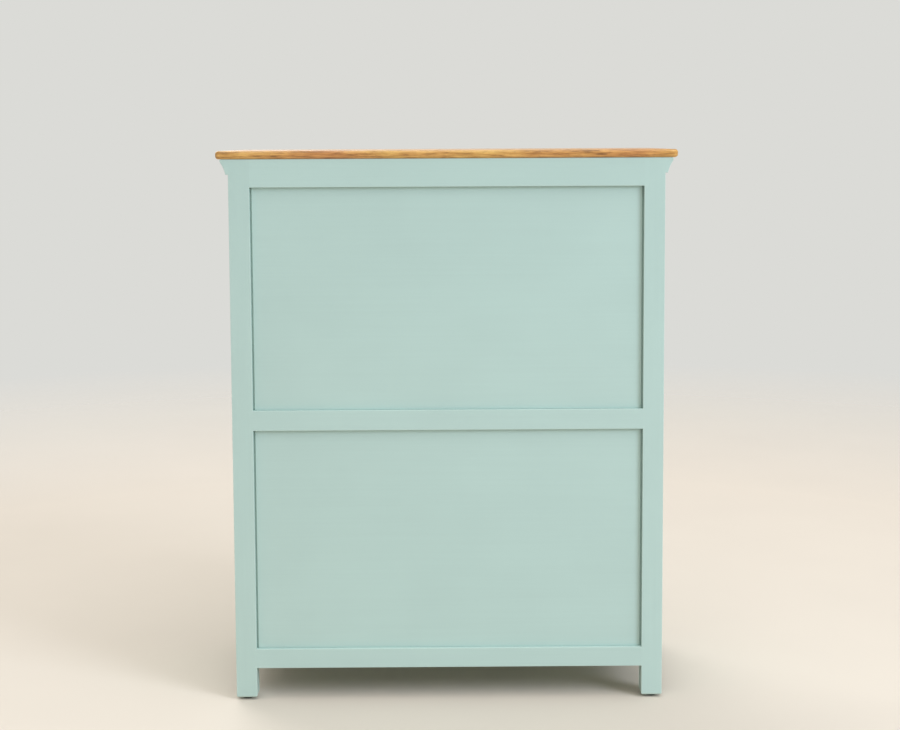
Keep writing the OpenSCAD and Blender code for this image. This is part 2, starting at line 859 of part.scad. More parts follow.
module door_stiles(side) {
    inner0 = door_x0 + door_stile_w;
    inner1 = door_x1 - door_stile_w;
    color(paint)
    on_side(side) difference() {
        union() {
            block([door_x0, front_y, door_z0], [inner0, door_back_y, door_z1]);
            block([inner1, front_y, door_z0], [door_x1, door_back_y, door_z1]);
        }
        door_groove(inner0 - groove_d, inner1 + groove_d, door_z0 - cut, door_z1 + cut);
        leaf_recesses(door_x1, leaf_inset + glue_gap);
        door_screws(hole_gap);
        knob_hole(door_knob_x, door_knob_z, door_t);
    }
}

module door_rails(side) {
    inner0 = door_x0 + door_stile_w;
    inner1 = door_x1 - door_stile_w;
    color(paint)
    on_side(side) for (span = door_rail_spans) difference() {
        union() {
            block([inner0, front_y, span[0]], [inner1, door_back_y, span[1]]);
            block([inner0 - tongue_l, door_tongue_y, span[0]],
                [inner1 + tongue_l, door_tongue_y + tongue_t, span[1]]);
        }
        for (panel = door_panel_spans)
            door_groove(inner0 - groove_d, inner1 + groove_d, panel[0] - groove_d, panel[1] + groove_d);
    }
}

module door_panels(side) {
    inner0 = door_x0 + door_stile_w;
    inner1 = door_x1 - door_stile_w;
    color(paint)
    on_side(side) for (span = door_panel_spans) {
        block([inner0 + panel_reveal, door_panel_y, span[0] + board_gap],
            [inner1 - panel_reveal, door_panel_y + panel_t, span[1] - board_gap]);
        block([inner0 - tongue_l, door_tongue_y, span[0] - tongue_l],
            [inner1 + tongue_l, door_tongue_y + tongue_t, span[1] + tongue_l]);
    }
}

// Clearance hole for the screw of a knob, through a front of thickness t
module knob_hole(x, z, t) {
    translate([x, front_y - cut, z]) rotate([-90, 0, 0])
        cylinder(h = t + 2 * cut, r = knob_screw_d / 2 + hole_gap);
}

// Turned knob and its screw, for a front of thickness t
module knob(x, z, t) {
    round_r = knob_head_t / 2;
    screw_head = knob_screw_d / 2;
    color(brass)
    translate([x, front_y, z]) rotate([90, 0, 0]) {
        difference() {
            rotate_extrude() {
                square([knob_rose_d / 2, knob_rose_t]);
                square([knob_neck_d / 2, knob_l - round_r]);
                translate([0, knob_l - knob_head_t]) square([knob_d / 2 - round_r, knob_head_t]);
                translate([knob_d / 2 - round_r, knob_l - round_r]) circle(round_r);
            }
            translate([0, 0, -cut])
                cylinder(h = cut + knob_thread_l + hole_gap, r = knob_screw_d / 2 + hole_gap);
        }
        translate([0, 0, -t]) cylinder(h = t + knob_thread_l, d = knob_screw_d);
        translate([0, 0, -t - screw_head]) cylinder(h = screw_head, d = 2 * knob_screw_d);
    }
}

module door_knob(side) {
    on_side(side) knob(door_knob_x, door_knob_z, door_t);
}

module door_strike(side) {
    color(steel)
    on_side(side) block([catch_x, door_back_y, door_z1 - strike_h],
        [catch_x + catch_l, door_back_y + strike_t, door_z1]);
}

// Brass rails of a door rack, thicker by a gap when they cut their seats
module rack_rods(gap) {
    reach = rod_seat - door_rack_t;
    for (i = [1:rod_count])
        translate([door_rack_x0 - reach - gap, rod_y, door_rack_z + i * rod_pitch]) rotate([0, 90, 0])
            cylinder(h = door_rack_x1 - door_rack_x0 + 2 * (reach + gap), r = rod_d / 2 + gap);
}

module door_rack(side) {
    color(honey_wood)
    on_side(side) {
        block([door_rack_x0 + door_rack_t + glue_gap, door_back_y, door_rack_z],
            [door_rack_x1 - door_rack_t - glue_gap, door_rack_y1, door_rack_z + door_rack_t]);
        for (x = [door_rack_x0, door_rack_x1 - door_rack_t]) difference() {
            block([x, door_back_y, door_rack_z], [x + door_rack_t, door_rack_y1, door_rack_z + door_rack_h]);
            rack_rods(hole_gap);
        }
    }
}

module door_rack_rods(side) {
    color(brass) on_side(side) rack_rods(0);
}

// Groove for the bottom of a drawer on the right
module drawer_groove() {
    reach = drawer_side_t - drawer_groove_d;
    block([drawer_x0 + reach, drawer_back_y - drawer_groove_d, drawer_panel_z - glue_gap],
        [drawer_x1 - reach, drawer_end_y + cut, drawer_panel_z + drawer_bottom_t + glue_gap]);
}

module drawer_front(side) {
    color(paint)
    on_side(side) difference() {
        block([drawer_x0, front_y, drawer_front_z0], [drawer_x1, drawer_back_y, drawer_front_z1]);
        for (x = [drawer_x0, drawer_x1])
            block([x - drawer_side_t - glue_gap, front_y + drawer_lap, drawer_z0 - cut],
                [x + drawer_side_t + glue_gap, drawer_back_y + cut, drawer_z1 + glue_gap]);
        drawer_groove();
        knob_hole(drawer_knob_x, drawer_knob_z, drawer_front_t);
    }
}

module drawer_box(side) {
    color(pale_wood)
    on_side(side) {
        difference() {
            for (x = [drawer_x0, drawer_x1 - drawer_side_t])
                block([x, front_y + drawer_lap + glue_gap, drawer_z0],
                    [x + drawer_side_t, drawer_end_y, drawer_z1]);
            drawer_groove();
        }
        block([drawer_x0 + drawer_side_t + glue_gap, drawer_rear_y - drawer_side_t,
                drawer_panel_z + drawer_bottom_t + glue_gap],
            [drawer_x1 - drawer_side_t - glue_gap, drawer_rear_y, drawer_z1]);
    }
}

module drawer_bottom(side) {
    reach = drawer_side_t - drawer_groove_d + end_gap;
    color(pale_wood)
    on_side(side) block([drawer_x0 + reach, drawer_back_y - drawer_groove_d + end_gap, drawer_panel_z],
        [drawer_x1 - reach, drawer_rear_y, drawer_panel_z + drawer_bottom_t]);
}

module drawer_knob(side) {
    on_side(side) knob(drawer_knob_x, drawer_knob_z, drawer_front_t);
}

top_board();
front_cornice();
side_cornice(LEFT);  // left_cornice
side_cornice(RIGHT);  // right_cornice
front_post(LEFT);  // front_left_post
front_post(RIGHT);  // front_right_post
back_post(LEFT);  // back_left_post
back_post(RIGHT);  // back_right_post
back_rail(top_span);  // back_top_rail
back_rail(mid_span);  // back_middle_rail
back_rail(bottom_span);  // back_bottom_rail
back_panel(panel_spans[1]);  // back_upper_panel
back_panel(panel_spans[0]);  // back_lower_panel
side_rails(LEFT);  // left_side_rails
side_rails(RIGHT);  // right_side_rails
side_panels(LEFT);  // left_side_panels
side_panels(RIGHT);  // right_side_panels
front_top_rail();
front_drawer_rail();
front_bottom_rail();
drawer_divider();
floor_board();
middle_shelf();
lower_shelf();
drawer_deck();
lower_partition();
shelf_cleats();
drawer_guides();
top_blocks();
glass_rack();
bottle_rack_uprights();
bottle_rack_shelves();
magnet_catches();
foot_glides();
post_hinges(LEFT);  // left_post_hinges
post_hinges(RIGHT);  // right_post_hinges
door_stiles(LEFT);  // left_door_stiles
door_rails(LEFT);  // left_door_rails
door_panels(LEFT);  // left_door_panels
door_hinges(LEFT);  // left_door_hinges
door_knob(LEFT);  // left_door_knob
door_strike(LEFT);  // left_door_strike
door_rack(LEFT);  // left_door_rack
door_rack_rods(LEFT);  // left_door_rack_rods
door_stiles(RIGHT);  // right_door_stiles
door_rails(RIGHT);  // right_door_rails
door_panels(RIGHT);  // right_door_panels
door_hinges(RIGHT);  // right_door_hinges
door_knob(RIGHT);  // right_door_knob
door_strike(RIGHT);  // right_door_strike
door_rack(RIGHT);  // right_door_rack
door_rack_rods(RIGHT);  // right_door_rack_rods
drawer_front(LEFT);  // left_drawer_front
drawer_box(LEFT);  // left_drawer_box
drawer_bottom(LEFT);  // left_drawer_bottom
drawer_knob(LEFT);  // left_drawer_knob
drawer_front(RIGHT);  // right_drawer_front
drawer_box(RIGHT);  // right_drawer_box
drawer_bottom(RIGHT);  // right_drawer_bottom
drawer_knob(RIGHT);  // right_drawer_knob
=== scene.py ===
"""Looks of a bar cabinet: its finishes, sanded arrises and turned hardware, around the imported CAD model."""

import json
import math

import bmesh
import bpy
from bpy.props import FloatProperty, FloatVectorProperty, IntProperty, PointerProperty
from mathutils import Matrix, Vector
from mathutils.bvhtree import BVHTree

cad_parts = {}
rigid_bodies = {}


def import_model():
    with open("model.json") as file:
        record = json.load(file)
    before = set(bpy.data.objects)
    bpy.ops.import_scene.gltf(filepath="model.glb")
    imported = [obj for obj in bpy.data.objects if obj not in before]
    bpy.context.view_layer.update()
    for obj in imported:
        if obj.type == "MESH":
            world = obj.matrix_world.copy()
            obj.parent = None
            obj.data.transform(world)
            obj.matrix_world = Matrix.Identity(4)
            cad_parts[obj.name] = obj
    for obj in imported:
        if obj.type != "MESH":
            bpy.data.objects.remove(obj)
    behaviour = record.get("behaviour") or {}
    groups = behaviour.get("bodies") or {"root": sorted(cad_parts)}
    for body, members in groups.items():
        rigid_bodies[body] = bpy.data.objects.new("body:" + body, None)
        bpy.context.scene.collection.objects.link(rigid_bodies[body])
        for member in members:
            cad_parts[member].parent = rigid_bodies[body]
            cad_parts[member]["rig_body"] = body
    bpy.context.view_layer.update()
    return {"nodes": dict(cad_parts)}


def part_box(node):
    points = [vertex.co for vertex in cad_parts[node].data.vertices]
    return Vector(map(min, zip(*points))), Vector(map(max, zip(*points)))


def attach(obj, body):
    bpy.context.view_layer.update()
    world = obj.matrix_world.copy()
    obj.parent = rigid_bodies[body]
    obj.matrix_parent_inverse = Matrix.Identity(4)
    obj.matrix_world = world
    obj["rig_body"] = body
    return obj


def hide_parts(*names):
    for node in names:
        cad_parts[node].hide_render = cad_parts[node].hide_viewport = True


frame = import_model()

bl_info = {
    "name": "Bar Cabinet",
    "version": (1, 0, 0),
    "blender": (4, 5, 0),
    "location": "3D View > Sidebar > Bar Cabinet",
    "description": "Finishes, sanded edges, turned knobs and studio of a painted bar cabinet",
    "category": "Object",
}

MM = 0.001
# Vertices closer than this are one corner
WELD = 0.01 * MM
# Pieces closer than this are glued or butted together, so the edge between them isn't sanded
CONTACT = 0.35 * MM
# Bend below which two faces of a CAD part are one, and bend above which the edge between them is an arris
FLAT = math.radians(1)
ARRIS = math.radians(35)
# Distance between two crests of Blender's wave texture at a scale of 1
WAVE_LENGTH = math.pi / 10
# Most values of Blender's noise lie between these
NOISE = {"From Min": 0.3, "From Max": 0.7}
# Of acrylic enamel and lacquer, and of nylon
LACQUER_IOR = 1.5
NYLON_IOR = 1.53

nodes = frame["nodes"]
boxes = {name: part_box(name) for name in nodes}
trees = {}


def linear(code):
    """Linear colour of an sRGB hex value."""
    parts = [int(code[i:i + 2], 16) / 255 for i in (0, 2, 4)]
    return [c / 12.92 if c <= 0.04045 else ((c + 0.055) / 1.055) ** 2.4 for c in parts]


class CabinetPaint(bpy.types.PropertyGroup):
    """Satin enamel on the carcass, the doors and the drawer fronts"""

    colour: FloatVectorProperty(
        name="Paint", description="Colour of the enamel on flat faces", subtype="COLOR",
        default=linear("B4CDC6"), min=0, max=1)
    # Paler than the faces: partly the thinner film on sanded edges, partly a painted highlight along them
    arris_highlight_colour: FloatVectorProperty(
        name="Arris", description="Colour of the thinner enamel on sanded edges", subtype="COLOR",
        default=linear("BED4CC"), min=0, max=1)
    arris: FloatProperty(
        name="Arris radius", description="Radius to which the painted edges are sanded",
        default=1 * MM, min=0.2 * MM, max=1.05 * MM, unit="LENGTH", precision=4)
    grain: FloatProperty(
        name="Grain spacing", description="Distance between the grain lines that show through the enamel",
        default=4 * MM, min=1 * MM, max=20 * MM, unit="LENGTH", precision=4)
    roughness: FloatProperty(
        name="Roughness", description="Roughness of the satin enamel", default=0.42, min=0.1, max=0.9,
        subtype="FACTOR")


class CabinetWood(bpy.types.PropertyGroup):
    """Lacquered top and racks, and the bare wood inside"""

    light: FloatVectorProperty(
        name="Top light", description="Early wood of the mango top", subtype="COLOR",
        default=linear("DAA95F"), min=0, max=1)
    dark: FloatVectorProperty(
        name="Top dark", description="Late wood of the mango top", subtype="COLOR",
        default=linear("B78342"), min=0, max=1)
    streak: FloatVectorProperty(
        name="Top streak", description="Dark streaks in the mango top", subtype="COLOR",
        default=linear("7A5428"), min=0, max=1)
    bare_light: FloatVectorProperty(
        name="Bare light", description="Early wood of the unfinished inner parts", subtype="COLOR",
        default=linear("DFC79C"), min=0, max=1)
    bare_dark: FloatVectorProperty(
        name="Bare dark", description="Late wood of the unfinished inner parts", subtype="COLOR",
        default=linear("C3A471"), min=0, max=1)
    stave: FloatProperty(
        name="Stave width", description="Width of the staves that the top is glued from",
        default=86 * MM, min=40 * MM, max=200 * MM, unit="LENGTH")
    ring: FloatProperty(
        name="Ring spacing", description="Distance between the growth rings",
        default=6 * MM, min=2 * MM, max=20 * MM, unit="LENGTH", precision=4)
    edge: FloatProperty(
        name="Edge radius", description="Radius of the sanded edges of racks and drawer boxes",
        default=0.8 * MM, min=0.2 * MM, max=1.5 * MM, unit="LENGTH", precision=4)
    corner: FloatProperty(
        name="Top corner radius", description="Radius of the top's corners, seen from above",
        default=8 * MM, min=7.5 * MM, max=20 * MM, unit="LENGTH", precision=4)


class CabinetMetal(bpy.types.PropertyGroup):
    """Knobs, hinges, rails, strikes and glides"""

    brass: FloatVectorProperty(
        name="Brass", description="Rubbed high spots of the aged brass", subtype="COLOR",
        default=linear("C8A66A"), min=0, max=1)
    patina: FloatVectorProperty(
        name="Patina", description="Tarnish in the hollows of the brass", subtype="COLOR",
        default=linear("957748"), min=0, max=1)
    facets: IntProperty(
        name="Knob facets", description="Number of faces round a turned knob before it is smoothed",
        default=24, min=12, max=48)
    slot: FloatProperty(
        name="Screw slot", description="Width of the slots in the screw heads",
        default=0.9 * MM, min=0.5 * MM, max=1.5 * MM, unit="LENGTH", precision=4)


class CabinetStage(bpy.types.PropertyGroup):
    """Plain studio with the camera where the photograph was taken"""

    floor: FloatVectorProperty(
        name="Floor", description="Colour of the plain floor", subtype="COLOR",
        default=linear("D6CCBF"), min=0, max=1)
    backdrop: FloatVectorProperty(
        name="Backdrop", description="Colour that is seen behind the floor", subtype="COLOR",
        default=linear("DBDBD7"), min=0, max=1)
    key: FloatProperty(
        name="Key light", description="Power of the soft box on the camera's right",
        default=292, min=0, max=900, subtype="POWER")
    top: FloatProperty(
        name="Top light", description="Strength of the wide light from above", default=1.2, min=0, max=10)
    front: FloatProperty(
        name="Door light", description="Strength of the light on the side of the doors",
        default=1.4, min=0, max=10)
    sky: FloatProperty(
        name="Sky", description="Strength of the even light from all round", default=0.52, min=0, max=2)


def feed(tree, node, inputs):
    """Sets inputs of a shader node. One that is given a socket, or a node for its first output, is linked."""
    for name, value in inputs.items():
        if isinstance(value, bpy.types.Node):
            value = value.outputs[0]
        if isinstance(value, bpy.types.NodeSocket):
            tree.links.new(value, node.inputs[name])
        else:
            node.inputs[name].default_value = value


def add(tree, kind, inputs=None, **settings):
    """Adds a shader node with its settings and feeds its inputs."""
    made = tree.nodes.new("ShaderNode" + kind)
    for name, value in settings.items():
        setattr(made, name, value)
    feed(tree, made, inputs or {})
    return made


def new_material(name):
    """Material with its node tree, its shader and a socket with object coordinates in metres."""
    made = bpy.data.materials.new(name)
    made.use_nodes = True
    tree = made.node_tree
    return made, tree, tree.nodes["Principled BSDF"], add(tree, "TexCoord").outputs["Object"]


def counts(along, across, axis):
    """Repeats per metre along X, Y and Z of a pattern with one size along an axis and another across it."""
    return [1 / (along if letter == axis else across) for letter in "xyz"]


def enamel(axis, arris=False):
    """Water-based satin enamel, sprayed on sanded hardwood.

    The eye gets an even colour with a broad soft sheen, a faint cloudiness, a trace of orange peel, and the
    grain of the wood just showing along each member. On the sanded arrises the film is thinner and paler, a
    painted highlight as well.
    """
    name = "satin_enamel_" + ("arris_" if arris else "face_") + axis
    if name in bpy.data.materials:
        return bpy.data.materials[name]
    props = bpy.context.scene.cabinet_paint
    made, tree, shader, where = new_material(name)
    grain, cloud, peel = [
        add(tree, "TexNoise", {
            "Vector": add(tree, "Mapping", {"Vector": where, "Scale": counts(along, across, axis)}),
            "Scale": 1, "Detail": detail})
        for along, across, detail in (
            # Grain lines run the length of a board, here about 300 mm each
            (300 * MM, props.grain, 3),
            # Spray overlaps leave clouds about 220 mm long and 150 mm wide
            (220 * MM, 150 * MM, 2),
            # Orange peel of about 1 mm, drawn at 2.5 mm so that it shows
            (2.5 * MM, 2.5 * MM, 1),
        )]
    tone = add(tree, "Math", {
        0: add(tree, "MapRange", {**NOISE, "Value": grain, "To Min": 0.988, "To Max": 1.008}),
        1: add(tree, "MapRange", {**NOISE, "Value": cloud, "To Min": 0.982, "To Max": 1.016})},
        operation="MULTIPLY")
    # The enamel fills the grain, which stands out less than the peel
    filled = 0.7
    relief = add(tree, "Math", {0: grain, 1: filled, 2: peel}, operation="MULTIPLY_ADD")
    # The arrises get a paler colour: a thinner film, and a painted highlight along the edges
    colour = props.arris_highlight_colour if arris else props.colour
    feed(tree, shader, {
        "Base Color": add(tree, "HueSaturation", {"Value": tone, "Color": (*colour, 1)}),
        "Roughness": add(tree, "MapRange", {
            **NOISE, "Value": cloud, "To Min": props.roughness - 0.04, "To Max": props.roughness + 0.04}),
        "Normal": add(tree, "Bump", {"Height": relief, "Distance": 0.06 * MM, "Strength": 0.6}),
        "IOR": LACQUER_IOR})
    return made


def wood(name, axis, light, dark, streak, pith, spacing, stave, roughness, coat):
    """Solid wood whose growth rings lie round a pith, so that faces, edges and ends all agree.

    The eye gets long wandering rings on the faces, arcs on the ends, fine fibres and short dark pores, and a
    change of tone from one glued stave to the next. Streaks of heartwood are darker and redder than the rest.
    """
    if name in bpy.data.materials:
        return bpy.data.materials[name]
    made, tree, shader, where = new_material(name)
    turn = {"x": (0, 0, 0), "y": (0, 0, math.pi / 2), "z": (0, math.pi / 2, 0)}[axis]
    centred = add(tree, "VectorMath", {0: where, 1: pith}, operation="SUBTRACT")
    laid = add(tree, "Mapping", {"Vector": centred, "Rotation": turn})
    # Each stave comes from another part of the trunk, up to this far from the first
    trunk = (3, 70 * MM, 50 * MM)
    across_staves = add(tree, "Math", {
        0: add(tree, "SeparateXYZ", {"Vector": laid}).outputs["Y"], 1: stave}, operation="DIVIDE")
    chance = add(tree, "TexWhiteNoise", {
        "W": add(tree, "Math", {0: across_staves}, operation="FLOOR")}, noise_dimensions="1D")
    moved = add(tree, "VectorMath", {
        0: chance.outputs["Color"], 1: trunk, 2: laid}, operation="MULTIPLY_ADD")
    bends, fibre, figure, pore, heart = [
        add(tree, "TexNoise", {
            "Vector": add(tree, "Mapping", {"Vector": moved, "Scale": counts(along, across, "x")}),
            "Scale": 1, "Detail": detail, "Roughness": rough})
        for along, across, detail, rough in (
            # Bends of the rings
            (450 * MM, 110 * MM, 3, 0.45),
            # Fibres are far finer than a pixel, so bundles of them are drawn
            (70 * MM, 2.4 * MM, 3, 0.6),
            # Flecks of the figure
            (32 * MM, 4 * MM, 3, 0.6),
            # Pores are 0.2 mm wide and 5 mm long, drawn larger so that they show
            (7.7 * MM, 1.1 * MM, 1, 0.5),
            # Streaks of heartwood
            (200 * MM, 60 * MM, 2, 0.5),
        )]
    # The rings wander by some 20 mm over a stave's length, of the 45 mm that the whole range of noise spans
    wander = (0, 45 * MM, 45 * MM)
    bent = add(tree, "VectorMath", {
        0: bends.outputs["Color"], 1: wander, 2: moved}, operation="MULTIPLY_ADD")
    rings = add(tree, "TexWave", {
        "Vector": bent, "Scale": WAVE_LENGTH / spacing, "Distortion": 1.2, "Detail": 2, "Detail Scale": 1.5},
        wave_type="RINGS", rings_direction="X", wave_profile="SAW").outputs["Fac"]
    # The shade runs from 0 in early wood to 1 in the darkest streaks, and every pattern adds to it
    ring_share = 0.3
    fibres = add(tree, "MapRange", {**NOISE, "Value": fibre, "To Min": -0.05, "To Max": 0.4})
    shade = add(tree, "Math", {0: rings, 1: ring_share, 2: fibres}, operation="MULTIPLY_ADD")
    for noise, low, high in ((figure, -0.28, 0.5), (heart, -0.12, 0.16)):
        part = add(tree, "MapRange", {**NOISE, "Value": noise, "To Min": low, "To Max": high})
        shade = add(tree, "Math", {0: shade, 1: part}, operation="ADD")
    ramp = add(tree, "ValToRGB", {"Fac": shade})
    ramp.color_ramp.elements[0].color = (*light, 1)
    ramp.color_ramp.elements[1].color = (*streak, 1)
    ramp.color_ramp.elements.new(0.62).color = (*dark, 1)
    # Only the peaks of the finest noise are pores, and they take on some of the streaks' colour
    pore_share = 0.45
    spots = add(tree, "MapRange", {"Value": pore, "From Min": 0.62, "From Max": 0.72})
    dotted = add(tree, "Mix", {
        0: add(tree, "Math", {0: spots, 1: pore_share}, operation="MULTIPLY"),
        6: ramp.outputs["Color"], 7: (*streak, 1)}, data_type="RGBA").outputs[2]
    relief = add(tree, "Math", {0: spots, 1: -1, 2: fibre}, operation="MULTIPLY_ADD")
    feed(tree, shader, {
        "Base Color": add(tree, "HueSaturation", {
            "Color": dotted,
            "Hue": add(tree, "MapRange", {**NOISE, "Value": heart, "To Min": 0.509, "To Max": 0.489}),
            "Value": add(tree, "MapRange", {
                "Value": chance.outputs["Value"], "To Min": 0.93, "To Max": 1.06})}),
        "Roughness": add(tree, "MapRange", {
            **NOISE, "Value": fibre, "To Min": roughness - 0.05, "To Max": roughness + 0.08}),
        "Normal": add(tree, "Bump", {"Height": relief, "Distance": 0.08 * MM, "Strength": 0.7}),
        "IOR": LACQUER_IOR,
        "Coat Weight": coat,
        "Coat Roughness": 0.3})
    return made


def top_wood():
    """Mango, planed, sanded and lacquered: honey brown with darker streaks and a low gloss."""
    props = bpy.context.scene.cabinet_wood
    pith = (0, 0, boxes["top_board"][0].z - 60 * MM)
    return wood("lacquered_mango_top", "x", props.light, props.dark, props.streak, pith, props.ring,
                props.stave, roughness=0.45, coat=0.3)


def rack_wood(axis):
    """The same mango on the racks, whose boards are too narrow to be glued from staves."""
    props = bpy.context.scene.cabinet_wood
    pith = (40 * MM, 35 * MM, 20 * MM)
    return wood("lacquered_mango_rack_" + axis, axis, props.light, props.dark, props.streak, pith, props.ring,
                3 * props.stave, roughness=0.48, coat=0.5)


def bare_wood(axis):
    """Unfinished sawn and planed wood inside: pale, dry and matt."""
    props = bpy.context.scene.cabinet_wood
    pith = (30 * MM, 50 * MM, 25 * MM)
    return wood("bare_planed_wood_" + axis, axis, props.bare_light, props.bare_dark, props.bare_dark, pith,
                props.ring, 3 * props.stave, roughness=0.62, coat=0)


def metal(name, bright, dull, roughness, axis=None):
    """Metal between two colours and two values of roughness. Blotches of tarnish dull it.

    With an axis it keeps the fine lines along which it was drawn.
    """
    if name in bpy.data.materials:
        return bpy.data.materials[name]
    made, tree, shader, where = new_material(name)
    # Tarnish comes in blotches of about 9 mm
    blotch = add(tree, "TexNoise", {
        "Vector": add(tree, "Mapping", {"Vector": where, "Scale": counts(9 * MM, 9 * MM, "x")}),
        "Scale": 1, "Detail": 4})
    share = add(tree, "MapRange", {"Value": blotch, "From Min": 0.35, "From Max": 0.75})
    # Tool marks of 0.2 mm, drawn at 0.5 mm so that they show, and 20 mm long where the metal was drawn
    mark = 0.5 * MM
    marks = add(tree, "TexNoise", {
        "Vector": add(tree, "Mapping", {
            "Vector": where, "Scale": counts(20 * MM if axis else mark, mark, axis or "x")}),
        "Scale": 1, "Detail": 2})
    feed(tree, shader, {
        "Base Color": add(tree, "Mix", {
            0: share, 6: (*bright, 1), 7: (*dull, 1)}, data_type="RGBA").outputs[2],
        "Roughness": add(tree, "MapRange", {
            **NOISE, "Value": blotch, "To Min": roughness[0], "To Max": roughness[1]}),
        "Normal": add(tree, "Bump", {"Height": marks, "Distance": 0.01 * MM, "Strength": 0.6}),
        "Metallic": 1})
    return made


def aged_brass(axis=None):
    """Cast and drawn brass with a rubbed, antique finish: warm, half dull, brighter where it is touched."""
    props = bpy.context.scene.cabinet_metal
    return metal("aged_brass_" + (axis or "cast"), props.brass, props.patina, (0.28, 0.5), axis)


def zinc_steel():
    """Zinc-plated pressed steel: cool grey with a faint spangle."""
    return metal("zinc_plated_steel", linear("A9ACAE"), linear("878B8E"), (0.32, 0.45))


def nylon():
    """Moulded dark nylon with a fine spark-eroded texture: black-brown and softly shiny."""
    if "moulded_dark_nylon" in bpy.data.materials:
        return bpy.data.materials["moulded_dark_nylon"]
    made, tree, shader, where = new_material("moulded_dark_nylon")
    # Pits of 0.1 mm, drawn at 0.8 mm so that they show
    grit = add(tree, "TexNoise", {
        "Vector": add(tree, "Mapping", {"Vector": where, "Scale": counts(0.8 * MM, 0.8 * MM, "x")}),
        "Scale": 1, "Detail": 2})
    feed(tree, shader, {
        "Base Color": add(tree, "HueSaturation", {
            "Color": (*linear("2E2B28"), 1),
            "Value": add(tree, "MapRange", {**NOISE, "Value": grit, "To Min": 0.85, "To Max": 1.2})}),
        "Roughness": add(tree, "MapRange", {**NOISE, "Value": grit, "To Min": 0.42, "To Max": 0.58}),
        "Normal": add(tree, "Bump", {"Height": grit, "Distance": 0.04 * MM, "Strength": 0.8}),
        "IOR": NYLON_IOR})
    return made


def dress(names, finish):
    """Gives CAD nodes whose shape is right a finish."""
    for name in names:
        slots = nodes[name].data.materials
        slots.clear()
        slots.append(finish)


def piece(name, mesh, finishes, body, slot, *stands_for):
    """Adds a mesh as a piece on a CAD body, in place of the CAD nodes that it stands for."""
    for finish in finishes:
        mesh.materials.append(finish)
    made = bpy.data.objects.new(name, mesh)
    bpy.context.scene.collection.objects.link(made)
    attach(made, body)
    if stands_for:
        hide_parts(*stands_for)
    return made


def shaded(name, work):
    """Finished mesh with smooth faces and crisp arrises."""
    for face in work.faces:
        face.smooth = True
    for edge in work.edges:
        edge.smooth = edge.calc_face_angle(math.pi) < ARRIS
    mesh = bpy.data.meshes.new(name)
    work.to_mesh(mesh)
    work.free()
    return mesh


def tree_of(name):
    """Search tree over a CAD node's surface."""
    if name not in trees:
        mesh = nodes[name].data
        trees[name] = BVHTree.FromPolygons([v.co for v in mesh.vertices], [p.vertices for p in mesh.polygons])
    return trees[name]


def neighbours(name, body):
    """CAD nodes of the same body whose boxes touch this one's.

    The top board isn't one: it is laid on last, over edges that are already sanded and painted.
    """
    low, high = boxes[name]
    return [other for other, (a, b) in boxes.items()
            if other not in (name, "top_board") and nodes[other]["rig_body"] == body
            and all(a[i] < high[i] + CONTACT and b[i] > low[i] - CONTACT for i in range(3))]


def sanded(name, body, slot, finishes, radius, axis):
    """Replaces a CAD node by the same board with its free arrises rounded over.

    An edge where the board meets its neighbour stays square, so glued joints close up. The board is first cut
    across its length where a neighbour starts or ends, so that the rounding can stop there. Two finishes are
    that of the faces and that of the arrises. Three are those of boards whose grain runs along X, Y and Z.
    """
    low, high = boxes[name]
    around = neighbours(name, body)
    work = bmesh.new()
    work.from_mesh(nodes[name].data)
    bmesh.ops.remove_doubles(work, verts=work.verts, dist=WELD)
    bmesh.ops.dissolve_limit(work, angle_limit=FLAT, verts=work.verts, edges=work.edges)
    by_grain = len(finishes) == 3
    if by_grain:
        for board in loose_parts(work):
            sizes = [max(v.co[k] for v in board) - min(v.co[k] for v in board) for k in range(3)]
            for face in {face for vertex in board for face in vertex.link_faces}:
                face.material_index = sizes.index(max(sizes))
    i = "xyz".index(axis)
    ends = {round(corner[i], 5) for other in around for corner in boxes[other]}
    for at in sorted(ends):
        if low[i] + 2 * radius < at < high[i] - 2 * radius:
            point = Vector([at if k == i else 0 for k in range(3)])
            bmesh.ops.bisect_plane(
                work, geom=[*work.verts, *work.edges, *work.faces], dist=WELD, plane_co=point,
                plane_no=[float(k == i) for k in range(3)])
    free = []
    for edge in work.edges:
        if len(edge.link_faces) == 2 and edge.is_convex and edge.calc_face_angle(0) > ARRIS:
            middle = (edge.verts[0].co + edge.verts[1].co) / 2
            if all(tree_of(other).find_nearest(middle, CONTACT)[0] is None for other in around):
                free.append(edge)
    bmesh.ops.bevel(work, geom=free, offset=radius, offset_type="OFFSET", segments=2, profile=0.5,
                    affect="EDGES", clamp_overlap=False, loop_slide=True,
                    material=-1 if by_grain else len(finishes) - 1)
    mesh = shaded(name + "_sanded", work)
    made = piece(mesh.name, mesh, finishes, body, slot, name)
    made.modifiers.new("Flat faces", "WEIGHTED_NORMAL").keep_sharp = True


def painted(names, body, axis):
    """Sanded and painted boards whose grain runs along an axis."""
    radius = bpy.context.scene.cabinet_paint.arris
    for name in names:
        sanded(name, body, "seafoam_paint", [enamel(axis), enamel(axis, True)], radius, axis)


def joined_boards(names, body, slot, wood_along, axis):
    """Sanded boards of one wood, each with its grain along its length. Most of them run along an axis."""
    radius = bpy.context.scene.cabinet_wood.edge
    for name in names:
        sanded(name, body, slot, [wood_along(letter) for letter in "xyz"], radius, axis)


def ring(work, points):
    """Closed ring of vertices through the points."""
    return [work.verts.new(point) for point in points]


def skin(work, rings):
    """Closes rings of equal length into a solid, with a face over each end."""
    faces = [work.faces.new(list(reversed(rings[0]))), work.faces.new(rings[-1])]
    for lower, upper in zip(rings, rings[1:]):
        for i, vertex in enumerate(lower):
            after = (i + 1) % len(lower)
            faces.append(work.faces.new([vertex, lower[after], upper[after], upper[i]]))
    bmesh.ops.recalc_face_normals(work, faces=faces)


